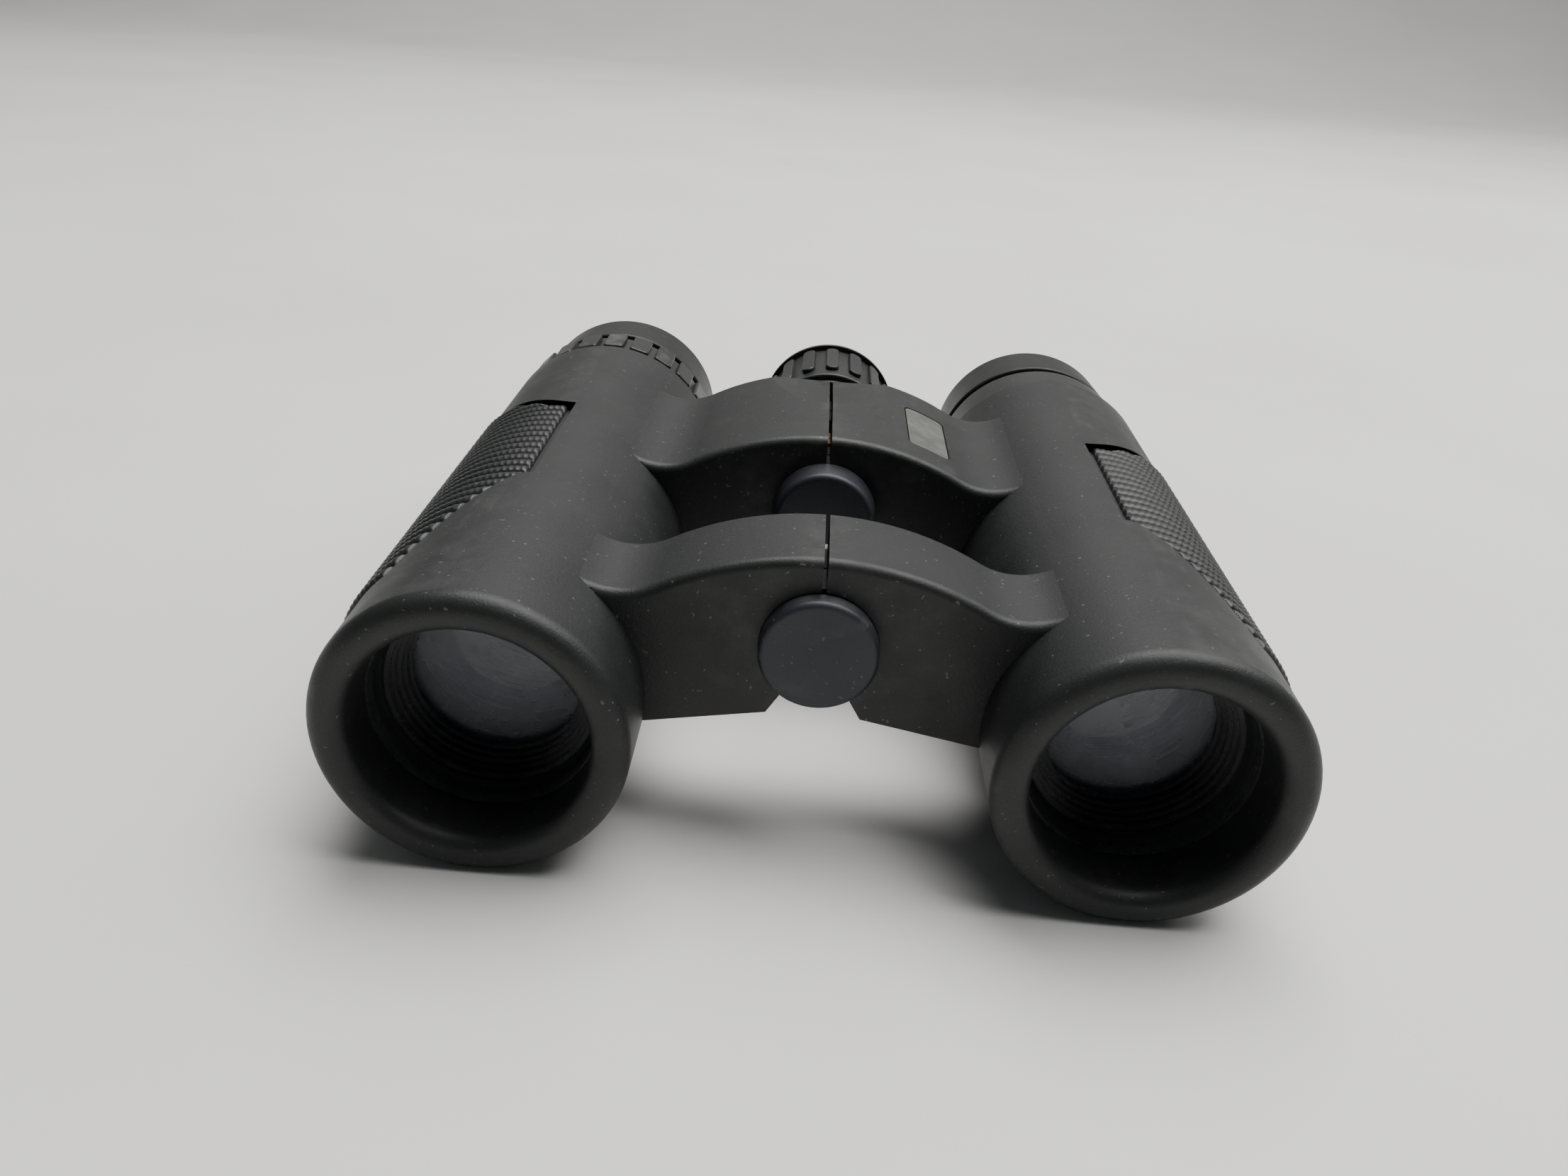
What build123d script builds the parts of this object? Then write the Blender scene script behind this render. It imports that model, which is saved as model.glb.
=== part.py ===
from build123d import *
import math
import os

# Compact roof-prism binocular with an open bridge, lying level on its two barrels.
# +X is across the barrels, +Y runs from the objectives to the eyepieces, +Z is up.
# Every shape is first drawn with Y counted from the objective rims and Z from the barrel axes.
# The export step then shifts it so that the origin is under the middle of the object.

# ---------------------------------------------------------------- driving dimensions (mm)
barrel_spacing = 74.0          # between the barrel axes, opened to the stop
hinge_height = 8.55            # hinge axis above the barrel axes
fold_angle = 59.0              # one barrel against the other, from open to folded

armour_radius = 17.6
armour_wall = 1.6
armour_length = 92.6
lip_radius = 13.24             # mouth of the objective hood
lip_outer_round = 2.1
lip_inner_round = 1.9
hood_depth = 7.3               # rubber hood in front of the housing
shoulder_round = 0.9
housing_wall = 2.0

front_bridge_start = 12.1
front_bridge_length = 13.6
rear_bridge_start = 50.7
rear_bridge_length = 30.4
bridge_top = 19.3              # crown of the arch above the barrel axes
arch_radius = 38.7
blend_radius = 9.0             # hollow between the arch and a barrel
underside_height = 0.45        # underside at the hinge, above the barrel axes
underside_slope = 10.2         # degrees, falling towards the barrel
bridge_edge_round = 1.1
seam_gap = 0.5                 # between the two arms' faces at the middle
dish_radius = 200.0            # thumb dish in front of the focus wheel
dish_start = 66.0
dish_deepest = 92.0

hinge_axle_radius = 4.0
bush_wall = 1.0
knuckle_radius = 6.6
hub_clearance = 0.25           # between a knuckle and the other arm
knuckle_gap = 0.4              # between neighbouring knuckles, with a washer in it
washer_thickness = 0.3
notch_margin = 1.5             # degrees on each side of the folded arms
running_clearance = 0.04
cover_gap = 0.2                # between a cap and the face it covers

front_cap_radius = 6.8
front_cap_height = 2.2
rear_cap_radius = 7.2
rear_cap_height = 3.5

focus_travel = 2.25            # each way
fork_start = 62.4
fork_thickness = 2.2
fork_width = 5.0
fork_gap = 0.15                # between the two forks' rings
fork_ring_radius = 5.8
nut_radius = 3.55
nut_flange = 0.9
nut_flange_height = 1.4
nut_play = 0.05                # between the fork rings and the nut's shoulders
focus_end_play = 0.3           # left over at each end of the nut's travel
screw_radius = 2.5
screw_tip_radius = 1.5
screw_tip_length = 3.2

wheel_gap = 0.6                # behind the rear bridge
wheel_length = 15.2
wheel_radius = 11.0
wheel_base_radius = 10.2
wheel_core_radius = 9.2
wheel_flange = 1.1
wheel_recess = 2.0             # depth of the cup that the wheel's cap closes
wheel_bars = 17
wheel_bar_width = 2.1
wheel_bar_length = 10.6

collar_gap = 0.3
collar_length = 8.6
collar_radius = 16.6
diopter_radius = 17.3
diopter_base_radius = 16.4
diopter_ribs = 24
diopter_rib_width = 3.2
diopter_rib_length = 6.6
diopter_travel = 0.8           # each way
guide_gap = 0.25
guide_ring_length = 1.8
guide_ring_radius = 15.3
eyecup_length = 12.0
eyecup_base_radius = 16.35
eyecup_rim_radius = 15.8
eyecup_mouth_radius = 12.4
eyecup_travel = 5.0
neck_radius = 12.6
neck_bore = 11.0
neck_hold = 3.2                # of the neck left inside the raised eyecup
eyecup_lip = 2.4               # rubber behind the hard sleeve
sleeve_wall = 1.6

grip_rib_pitch = 2.2
grip_rib_height = 0.6
grip_recess = 1.3              # depth of the pocket the grip lies in
grip_pocket_gap = 0.3
grip_bulge = 1.3               # offset of the ribs' axis towards the outside
grip_crest_radius = 17.1
grip_front = 12.0
grip_rear = 70.0
grip_front_angle = 41.0        # degrees from the top of the barrel, at the grip's front corner
grip_belly = 27.7
grip_belly_angle = 20.7
grip_tip = 60.0                # rear upper corner
grip_tip_angle = 5.0

objective_aperture = 10.05
objective_lens_radius = 11.4
objective_lens_seat = 15.2     # face of the lens behind the rims
plate_width = 5.8
plate_length = 15.4
plate_thickness = 0.6
plate_gap = 0.18
plate_offset = 14.3            # middle of the plate from the seam
plate_setback = 6.3            # front edge of the plate behind the bridge's front face
plate_corner = 0.9
lug_reach = 20.3               # outside of the strap lug from the barrel axis
lug_start = 73.6
lug_length = 8.0
lug_width = 4.0
lug_bar = 1.6
lug_corner = 2.2
eye_corner = 1.0

# ---------------------------------------------------------------- places worked out from them
half_spacing = barrel_spacing / 2
rear_bridge_end = rear_bridge_start + rear_bridge_length
collar_start = armour_length + collar_gap
collar_end = collar_start + collar_length
guide_ring_start = collar_end + guide_gap
eyecup_start = guide_ring_start + guide_ring_length + guide_gap
overall_length = eyecup_start + eyecup_length
housing_radius = armour_radius - armour_wall
housing_bore = housing_radius - housing_wall
housing_end = armour_length - 0.4   # the armour stands a little past the housing
hub_bore = knuckle_radius + hub_clearance
notch_half_angle = fold_angle / 2 + notch_margin
arm_reach = math.hypot(half_spacing, hinge_height)
arm_slope = math.degrees(math.atan2(hinge_height, half_spacing))
fork_place = {"right": fork_start, "left": fork_start + fork_thickness + fork_gap}
nut_start = fork_start - nut_play - nut_flange
nut_end = fork_place["left"] + fork_thickness + nut_play + nut_flange
focus_room_start = nut_start - focus_travel - focus_end_play
focus_room_end = nut_end + focus_travel + focus_end_play
neck_end = eyecup_start + eyecup_travel + neck_hold
sleeve_end = overall_length - eyecup_lip
sides = {"left": -1, "right": 1}


# ---------------------------------------------------------------- drawing helpers
def disc(radius, start, length, x=0.0, z=0.0):
    """Solid round bar along Y."""
    bar = Cylinder(radius, length, align=(Align.CENTER, Align.CENTER, Align.MIN))
    return Pos(x, start, z) * Rot(-90, 0, 0) * bar


def ring(outer, inner, start, length, x=0.0, z=0.0):
    """Plain tube along Y."""
    return disc(outer, start, length, x, z) - disc(inner, start - 1, length + 2, x, z)


def rounded(face, corners):
    """Round the face's corners nearest to the given points."""
    for point, radius in corners:
        corner = face.vertices().sort_by_distance(Vector(*point))[0]
        face = fillet(corner, radius)
    return face


def turned(outline, corners=(), x=0.0, z=0.0):
    """Revolve an outline of (radius, station) points about an axis along Y."""
    face = rounded(make_face(Polyline(*outline, close=True)), corners)
    return Pos(x, 0, z) * revolve(face, Axis.Y)


def dome(radius, apex, sag, facing):
    """Arc from the axis to the edge of a ball-shaped lens face whose apex is at the given station."""
    curvature = (radius ** 2 + sag ** 2) / (2 * sag)
    half_angle = math.asin(radius / curvature) / 2
    middle = (curvature * math.sin(half_angle), apex + facing * curvature * (1 - math.cos(half_angle)))
    return ThreePointArc((0, apex), middle, (radius, apex + facing * sag))


def lens(radius, start, thickness, front_sag, rear_sag):
    """Round lens along Y; a positive sag makes that surface bulge."""
    end = start + thickness
    half_outline = [
        dome(radius, start, front_sag, 1),
        Line((radius, start + front_sag), (radius, end - rear_sag)),
        dome(radius, end, rear_sag, -1),
        Line((0, end), (0, start)),
    ]
    return revolve(make_face(half_outline), Axis.Y)


def along_y(sketch, start, length):
    """Extrude a sketch drawn in X and Z from one station towards the eyepieces."""
    return extrude(Pos(0, start + length, 0) * (Plane.XZ * sketch), amount=length)


def arc_about(centre, start, end):
    """The shorter arc from start to end about a centre."""
    middle = ((start - centre) + (end - centre)).normalized() * (start - centre).length
    return ThreePointArc(start, centre + middle, end)


def on_barrel(shape):
    """Move a shape drawn about the origin to the right barrel."""
    return Pos(half_spacing, 0, 0) * shape


def for_side(shape, side):
    """The right-hand shape as it is, or its mirror image for the left."""
    return shape if sides[side] > 0 else mirror(shape, about=Plane.YZ)


# ---------------------------------------------------------------- bridge arms
def blend_centre():
    """Centre of the circle that touches the arch and the barrel from above."""
    sink = 0.02                # the blend runs just into the barrel instead of only touching it
    arch_centre = Vector(0, bridge_top - arch_radius)
    barrel_centre = Vector(half_spacing, 0)
    to_arch = arch_radius + blend_radius
    to_barrel = armour_radius - sink + blend_radius
    span = barrel_centre - arch_centre
    along = (to_arch ** 2 - to_barrel ** 2 + span.length ** 2) / (2 * span.length)
    across = math.sqrt(to_arch ** 2 - along ** 2)
    direction = span.normalized()
    return arch_centre + direction * along + Vector(-direction.Y, direction.X) * across


def arm_profile(inset):
    """One arm seen along the barrels, from the seam to inside the barrel."""
    arch_centre = Vector(0, bridge_top - arch_radius)
    barrel_centre = Vector(half_spacing, 0)
    blend = blend_centre()
    crown = Vector(0, bridge_top - inset)
    arch_end = arch_centre + (blend - arch_centre).normalized() * (arch_radius - inset)
    barrel_touch = blend + (barrel_centre - blend).normalized() * (blend_radius + inset)
    inside_x = half_spacing - 0.8 * armour_radius

    def underside(x):
        return underside_height + inset - x * math.tan(math.radians(underside_slope))

    outline = [
        arc_about(arch_centre, crown, arch_end),
        arc_about(blend, arch_end, barrel_touch),
        Line(barrel_touch, barrel_centre),
        Line(barrel_centre, (inside_x, underside(inside_x))),
        Line((inside_x, underside(inside_x)), (0, underside(0))),
        Line((0, underside(0)), crown),
    ]
    reach = 2 * arch_radius
    notch_width = reach * math.tan(math.radians(notch_half_angle))
    notch_bottom = hinge_height - reach
    notch = make_face(Polyline((0, hinge_height), (notch_width, notch_bottom), (0, notch_bottom), close=True))
    seam = Rectangle(seam_gap, 2 * reach)
    return make_face(outline) - notch - seam


def hub(radius):
    """Disc about the hinge axis, as a sketch in X and Z."""
    return Pos(0, hinge_height) * Circle(radius)


def arm_block(start, length):
    """Outside of one arm, with its long edges rounded."""
    block = along_y(arm_profile(0) - hub(hub_bore), start, length)
    end_edges = block.edges().filter_by(
        lambda edge: min(abs(edge.center().Y - start), abs(edge.center().Y - start - length)) < 0.01
    )
    arch_edges = end_edges.filter_by(GeomType.CIRCLE).filter_by(lambda edge: edge.radius > hub_bore + 0.1)
    return fillet(arch_edges, bridge_edge_round)


def thumb_dish(depth_offset=0.0):
    """Large ball that scoops the rear bridge's crown in front of the focus wheel."""
    rise = math.sqrt(dish_radius ** 2 - (dish_deepest - dish_start) ** 2)
    return Pos(0, dish_deepest, bridge_top + rise) * Sphere(dish_radius + depth_offset)


bridges = ((front_bridge_start, front_bridge_length), (rear_bridge_start, rear_bridge_length))


def knuckle_slabs():
    """Stations of each arm's knuckles: side to a list of (start, length)."""
    front = front_bridge_start + armour_wall
    front_span = front_bridge_length - 2 * armour_wall
    front_each = (front_span - knuckle_gap) / 2
    rear = rear_bridge_start + armour_wall
    rear_span = rear_bridge_length - 2 * armour_wall
    pair = (focus_room_start - rear - knuckle_gap) / 2
    last = (rear + rear_span - focus_room_end - knuckle_gap) / 2
    right = [(front, front_each), (rear, pair), (focus_room_end + last + knuckle_gap, last)]
    left = [
        (front + front_each + knuckle_gap, front_each),
        (rear + pair + knuckle_gap, pair),
        (focus_room_end, last),
    ]
    return {"right": right, "left": left}


knuckles = knuckle_slabs()


def fork_slot():
    """Passage for the focusing fork from the hinge to the inside of the right barrel."""
    room = 0.4
    height = fork_width + 2 * room
    length = focus_room_end - focus_room_start - 2 * nut_flange
    slot = Box(arm_reach, length, height, align=(Align.MIN, Align.CENTER, Align.CENTER))
    middle = (focus_room_start + focus_room_end) / 2
    return Pos(0, middle, hinge_height) * Rot(0, arm_slope, 0) * slot


def housing(side):
    """Hard shell of one barrel with its arms and hinge knuckles."""
    shell = on_barrel(disc(housing_radius, hood_depth, housing_end - hood_depth))
    for start, length in bridges:
        shell += along_y(arm_profile(armour_wall) - hub(hub_bore), start + armour_wall,
                         length - 2 * armour_wall)
    shell -= thumb_dish(armour_wall)
    eye = hub(knuckle_radius)
    bore = hinge_axle_radius if side == "right" else hinge_axle_radius + bush_wall
    web_reach = hub_bore + 1   # just into the arm
    web = (arm_profile(armour_wall) & hub(web_reach)) + eye - hub(bore)
    for start, length in knuckles[side]:
        shell += along_y(web, start, length)
    shell -= on_barrel(disc(housing_bore, hood_depth - 1, armour_length))
    shell -= fork_slot() - disc(knuckle_radius, 0, focus_room_start, z=hinge_height)
    return for_side(shell, side)


# ---------------------------------------------------------------- rubber armour
def armour_outside():
    """Outer form of one armoured barrel with both arms."""
    barrel = on_barrel(turned(
        [(0, 0), (armour_radius, 0), (armour_radius, armour_length), (0, armour_length)],
        [((armour_radius, 0), lip_outer_round), ((armour_radius, armour_length), shoulder_round)],
    ))
    for start, length in bridges:
        barrel += arm_block(start, length)
    return barrel - thumb_dish()


def armour_inside():
    """The space the housing takes up inside the armour."""
    space = on_barrel(disc(housing_radius, hood_depth, armour_length))
    for start, length in bridges:
        space += along_y(arm_profile(armour_wall), start + armour_wall, length - 2 * armour_wall)
    return space - thumb_dish(armour_wall)


def hood_mouth():
    """The hood's bore, flared round at the rim."""
    flare = lip_inner_round
    mouth = [
        Line((0, -1), (lip_radius + flare, -1)),
        Line((lip_radius + flare, -1), (lip_radius + flare, 0)),
        ThreePointArc(
            (lip_radius + flare, 0),
            (lip_radius + flare * (1 - math.sqrt(0.5)), flare * (1 - math.sqrt(0.5))),
            (lip_radius, flare),
        ),
        Line((lip_radius, flare), (lip_radius, hood_depth + 1)),
        Line((lip_radius, hood_depth + 1), (0, hood_depth + 1)),
        Line((0, hood_depth + 1), (0, -1)),
    ]
    return on_barrel(revolve(make_face(mouth), Axis.Y))


def plate_pocket(grow):
    """Upright rounded block over the blank plate's place on the right rear arm."""
    outline = RectangleRounded(plate_width + 2 * grow, plate_length + 2 * grow, plate_corner + grow)
    middle = rear_bridge_start + plate_setback + plate_length / 2
    return Pos(plate_offset, middle, bridge_top / 2) * extrude(outline, amount=bridge_top)


def plate_layer(top_inset, thickness):
    """Skin of the rear arm between two depths below its arch."""
    upper = along_y(arm_profile(top_inset), rear_bridge_start, rear_bridge_length)
    lower = along_y(arm_profile(top_inset + thickness), rear_bridge_start - 1, rear_bridge_length + 2)
    return upper - lower


def armour(side):
    shell = armour_outside() - armour_inside() - hood_mouth()
    shell -= grip_leaf(grip_pocket_gap) & ring_about_grip(armour_radius + 3, armour_radius - grip_recess)
    shell -= on_barrel(lug_pocket())
    shell -= strap_lug("right")
    if side == "right":
        shell -= plate_pocket(plate_gap) - along_y(
            arm_profile(plate_thickness), rear_bridge_start - 1, rear_bridge_length + 2
        )
    return for_side(shell, side)


def name_plate():
    sunk = 0.06
    underneath = 0.02
    return plate_pocket(0) & plate_layer(sunk, plate_thickness - sunk - underneath)


# ---------------------------------------------------------------- side grips
def grip_leaf(grow):
    """Leaf-shaped block through the outer flank of the right barrel, seen from the side."""
    def edge_height(angle):
        return armour_radius * math.cos(math.radians(angle)) + grow

    tip = Vector(grip_tip, edge_height(grip_tip_angle))
    belly = Vector(grip_belly, edge_height(grip_belly_angle))
    corner = Vector(grip_front - grow, edge_height(grip_front_angle))
    bend = Vector((grip_tip + grip_rear) / 2 - 0.5 + grow, 0.93 * armour_radius + grow)
    shoulder = Vector(grip_rear - 2.4 + grow, 0.78 * armour_radius + grow)
    rear = Vector(grip_rear + grow, 0)
    upper = ThreePointArc(corner, belly, tip)
    turn = ThreePointArc(tip, bend, shoulder)
    end = ThreePointArc(shoulder, rear, (shoulder.X, -shoulder.Y))
    lower_turn, lower = (
        ThreePointArc((third.X, -third.Y), (second.X, -second.Y), (first.X, -first.Y))
        for first, second, third in ((tip, bend, shoulder), (corner, belly, tip))
    )
    front = Line((corner.X, -corner.Y), corner)
    outline = make_face([upper, turn, end, lower_turn, lower, front])
    return Pos(half_spacing, 0, 0) * extrude(Plane.YZ * outline, amount=2 * armour_radius)


def ring_about_grip(outer, inner):
    """Tube about the barrel over the grip's length."""
    return ring(outer, inner, grip_front - 2, grip_rear - grip_front + 4, x=half_spacing)


def grip(side):
    """Ribbed pad with half-round cross ribs, thickest on the outer flank."""
    floor_radius = grip_crest_radius - grip_rib_height
    rib_radius = 0.36 * grip_rib_pitch
    rib_root = 0.6
    first_rib = grip_front + 0.6 * grip_rib_pitch
    crest_centre = grip_crest_radius - rib_radius
    count = int((grip_rear - grip_front) / grip_rib_pitch)
    spare = 1.5
    leaf = grip_leaf(0)
    core = disc(armour_radius - grip_recess, 0, armour_length, x=half_spacing)
    base = disc(floor_radius, grip_front - spare, grip_rear - grip_front + 2 * spare,
                x=half_spacing + grip_bulge)
    pad = (base - core) & leaf
    for index in range(count):
        station = first_rib + index * grip_rib_pitch
        section = Pos(crest_centre, station) * Circle(rib_radius)
        section += Pos(crest_centre - rib_root, station) * Rectangle(2 * rib_root, 2 * rib_radius)
        rib = Pos(half_spacing + grip_bulge, 0, 0) * revolve(section, Axis.Y)
        pad += rib & leaf
    return for_side(pad - core, side)


def lug_pocket():
    """Hollow under the strap lug, so that a cord passes beneath its bar."""
    depth = 2.2
    cord_room = 3.5            # above and below the lug
    above = 1.0
    size = (depth + above, lug_length - 2 * lug_bar, lug_width + 2 * cord_room)
    room = Box(*size, align=(Align.MAX, Align.CENTER, Align.CENTER))
    room = fillet(room.edges().filter_by(Axis.X), eye_corner)
    return Pos(armour_radius + above, lug_start + lug_length / 2, 0) * room


def strap_lug(side):
    """Staple-shaped eye on the barrel's outer side."""
    above_housing = 0.2
    foot = housing_radius + above_housing
    height = lug_reach - foot
    corner = (Align.MIN, Align.MIN, Align.CENTER)
    staple = Box(height, lug_length, lug_width, align=corner)
    staple = fillet(staple.edges().filter_by(Axis.Z).group_by(Axis.X)[-1], lug_corner)
    eye = Box(height - lug_bar, lug_length - 2 * lug_bar, 2 * lug_width, align=corner)
    eye = fillet(eye.edges().filter_by(Axis.Z).group_by(Axis.X)[-1], eye_corner)
    lug = staple - Pos(0, lug_bar, 0) * eye
    return for_side(on_barrel(Pos(foot, lug_start, 0) * lug), side)


# ---------------------------------------------------------------- objective end
close_gap = 0.02               # between parts pressed or screwed together
cell_start = hood_depth + 0.1
cell_length = 14.0
cell_end = cell_start + cell_length
cell_radius = housing_bore - close_gap
cell_mouth_radius = lip_radius - 0.2
cell_throat_radius = 12.3
chamfer_length = 2.0
throat_start = cell_start + 3.3
retainer_end = objective_lens_seat - 0.2
seal_section = 0.45
seal_station = cell_start + 0.7 * cell_length


def objective_cell():
    """Threaded-in tube that carries the objective, with a bright chamfer at its mouth."""
    seat = objective_lens_radius + close_gap
    cell = turned([
        (cell_mouth_radius, cell_start), (cell_radius, cell_start), (cell_radius, cell_end),
        (seat, cell_end), (seat, retainer_end), (cell_throat_radius, retainer_end),
        (cell_throat_radius, throat_start), (cell_mouth_radius, cell_start + chamfer_length),
    ])
    width = 2 * seal_section
    return cell - ring(cell_radius + 1, cell_radius - width, seal_station - seal_section, width)


def objective_seal():
    """O-ring between the objective cell and the housing."""
    section = seal_section - close_gap
    loop = Torus(housing_bore - close_gap - seal_section, section)
    return Pos(0, seal_station, 0) * Rot(90, 0, 0) * loop


def objective_retainer():
    """Stepped ring in front of the lens; the steps catch stray light."""
    steps = 5
    land = 0.25
    outer = cell_throat_radius - close_gap
    start = throat_start + 0.2
    length = retainer_end - start
    rise = (outer - 0.1 - objective_aperture) / steps
    outline = [(outer, start), (outer, retainer_end), (objective_aperture, retainer_end)]
    for index in range(steps):
        inner = objective_aperture + index * rise
        station = retainer_end - (index + 1) * length / steps
        outline.append((inner, station + land))
        if index < steps - 1:
            outline.append((inner + rise, station + land))
    outline.append((inner, start))
    return turned(outline)


def objective_lens():
    thickness = 5.0
    front_sag = 1.5
    rear_sag = 0.6
    return lens(objective_lens_radius, objective_lens_seat, thickness, front_sag, rear_sag)


baffle_start = cell_end + 0.2
baffle_end = focus_room_start - 0.6


def baffle_tube():
    """Blackened tube with sharp-edged ribs behind the objective."""
    rib_count = 10
    rib_pitch = 2.6
    rib_width = 0.5
    rib_height = 1.2
    wall = 1.0
    bore = cell_radius - wall
    tube = ring(cell_radius, bore, baffle_start, baffle_end - baffle_start)
    for index in range(rib_count):
        station = baffle_start + wall + index * rib_pitch
        tube += ring(bore + 0.1, bore - rib_height, station, rib_width)
    return tube


# ---------------------------------------------------------------- focusing
focus_lens_radius = 9.0
focus_cell_wall = 2.2


def fork_bar(start):
    """One arm of the focusing fork: a ring on the nut and a bar to the lens cell."""
    root = nut_radius + 1
    bar_end = arm_reach - focus_lens_radius - focus_cell_wall - 0.2
    bar = Box(bar_end - root, fork_thickness, fork_width, align=(Align.MIN, Align.MIN, Align.CENTER))
    bar = Rot(0, arm_slope, 0) * (Pos(root, 0, 0) * bar)
    eye = ring(fork_ring_radius, nut_radius + running_clearance, start, fork_thickness, z=hinge_height)
    return eye + Pos(0, start, hinge_height) * bar


def fork(side):
    return for_side(fork_bar(fork_place[side]), side)


def focus_cell(side):
    """Sliding cell of the focusing lens, notched where the fork holds it."""
    outer = housing_bore - running_clearance
    tube = ring(outer, focus_lens_radius + close_gap, nut_start, nut_end - nut_start)
    notch = Box(arm_reach, fork_thickness, fork_width, align=(Align.MIN, Align.MIN, Align.CENTER))
    notch = Pos(-half_spacing, fork_place[side], hinge_height) * Rot(0, arm_slope, 0) * notch
    keep = disc(focus_lens_radius + focus_cell_wall, 0, overall_length)
    return for_side(on_barrel(tube - (notch - keep)), side)


def focus_lens():
    """Meniscus lens: bulging towards the objective, hollow behind."""
    setback = 2.4
    thickness = 3.0
    return lens(focus_lens_radius, nut_start + setback, thickness, 0.7, -0.9)


def focus_nut():
    """Travelling nut with a shoulder in front of the two fork rings."""
    bore = screw_radius + running_clearance
    sleeve = ring(nut_radius, bore, nut_start, nut_end - nut_start, z=hinge_height)
    return sleeve + ring(nut_radius + nut_flange_height, bore, nut_start, nut_flange, z=hinge_height)


def fork_clip():
    """Clip behind the two fork rings."""
    outer = nut_radius + nut_flange_height
    return ring(outer, nut_radius, nut_end - nut_flange, nut_flange - 0.1, z=hinge_height)


wheel_start = rear_bridge_end + wheel_gap
wheel_end = wheel_start + wheel_length


def focus_screw():
    """Screw turned by the wheel, with a plain tip held in the middle pin."""
    start = focus_room_start + 0.2
    shaft = disc(screw_radius, start, wheel_end - wheel_recess - start, z=hinge_height)
    return shaft + disc(screw_tip_radius, start - screw_tip_length, screw_tip_length + 1, z=hinge_height)


def focus_wheel_core():
    """Cup-shaped hub of the focus wheel."""
    rim_wall = 1.2
    rim_end = wheel_end - rim_wall
    bottom = wheel_end - wheel_recess
    recess_radius = wheel_core_radius - rim_wall
    return turned(
        [(screw_radius, wheel_start), (wheel_core_radius, wheel_start), (wheel_core_radius, rim_end),
         (recess_radius, rim_end), (recess_radius, bottom), (screw_radius, bottom)],
        [((wheel_core_radius, wheel_start), 0.4)], z=hinge_height)


def focus_wheel_cap():
    """Disc that closes the wheel's rear end."""
    play = 0.1
    spigot = wheel_core_radius - 1.2 - play
    bottom = wheel_end - wheel_recess + play
    brim = wheel_core_radius - play
    brim_start = wheel_end - 1.2 + play
    face = wheel_end - play
    return turned(
        [(0, bottom), (spigot, bottom), (spigot, brim_start), (brim, brim_start), (brim, face), (0, face)],
        [((brim, face), 0.6)], z=hinge_height)


def focus_wheel_grip():
    """Rubber sleeve with raised bars and a thin rear flange."""
    start = wheel_start + 0.6
    flange_start = wheel_end - wheel_flange
    sleeve = turned(
        [(wheel_core_radius, start), (wheel_base_radius, start), (wheel_base_radius, flange_start),
         (wheel_radius, flange_start), (wheel_radius, wheel_end), (wheel_core_radius, wheel_end)],
        [((wheel_radius, wheel_end), 0.4), ((wheel_base_radius, start), 0.4)])
    bar_sunk = 0.15            # below the flange's edge
    bar_clear = 0.9            # of the flange
    bar = extrude(SlotOverall(wheel_bar_length, wheel_bar_width), amount=wheel_radius - bar_sunk)
    bar = fillet(bar.edges().group_by(Axis.Z)[-1], 0.25)
    bar_middle = flange_start - bar_clear - wheel_bar_length / 2
    bars = [
        Pos(0, bar_middle, 0) * Rot(0, index * 360 / wheel_bars, 0) * Rot(0, 0, 90) * bar
        for index in range(wheel_bars)
    ]
    core = disc(wheel_core_radius, 0, overall_length)
    return Pos(0, 0, hinge_height) * (sleeve + bars - core)


# ---------------------------------------------------------------- hinge
def front_cap():
    """Smooth round cap over the front hinge pin."""
    base = front_bridge_start - cover_gap
    face = base - front_cap_height
    return turned(
        [(0, face), (front_cap_radius, face), (front_cap_radius, base), (0, base)],
        [((front_cap_radius, face), 0.75)], z=hinge_height)


def front_axle():
    """Front hinge pin; its head lies in the front bridge's rear face."""
    start = front_bridge_start - cover_gap
    head = front_bridge_start + front_bridge_length - armour_wall + 0.1
    head_height = armour_wall - 0.3
    shaft = disc(hinge_axle_radius, start, head - start, z=hinge_height)
    return shaft + disc(knuckle_radius, head, head_height, z=hinge_height)


def rear_cap():
    """Domed cap on the rear bridge's front face."""
    base = rear_bridge_start - cover_gap
    face = base - rear_cap_height
    face_radius = rear_cap_radius - 0.4
    return turned(
        [(0, face), (face_radius, face), (rear_cap_radius, base), (0, base)],
        [((face_radius, face), 0.8)], z=hinge_height)


def middle_pin():
    """Short hinge pin in the front half of the rear bridge, bored for the screw's tip."""
    start = rear_bridge_start - cover_gap
    bore = screw_tip_radius + running_clearance
    depth = screw_tip_length + 0.2
    pin = disc(hinge_axle_radius, start, focus_room_start - start, z=hinge_height)
    return pin - disc(bore, focus_room_start - depth, depth + 1, z=hinge_height)


def rear_tube():
    """Hollow hinge pin in the rear half of the rear bridge, round the focusing screw."""
    bore = screw_radius + running_clearance
    length = rear_bridge_end - 0.1 - focus_room_end
    return ring(hinge_axle_radius, bore, focus_room_end, length, z=hinge_height)


def hinge_bushes():
    """Bushes in the left knuckles, running on the right half's pins."""
    outer = hinge_axle_radius + bush_wall
    bore = hinge_axle_radius + running_clearance
    return [ring(outer, bore, start, length, z=hinge_height) for start, length in knuckles["left"]]


def thrust_washers():
    """Washers between the knuckles, each resting on a right-hand one."""
    outer = knuckle_radius - 0.2
    washers = []
    for right_slab, left_slab in zip(knuckles["right"], knuckles["left"]):
        if right_slab[0] < left_slab[0]:
            start = right_slab[0] + right_slab[1]
        else:
            start = right_slab[0] - washer_thickness
        washers.append(ring(outer, hinge_axle_radius, start, washer_thickness, z=hinge_height))
    return washers


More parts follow.
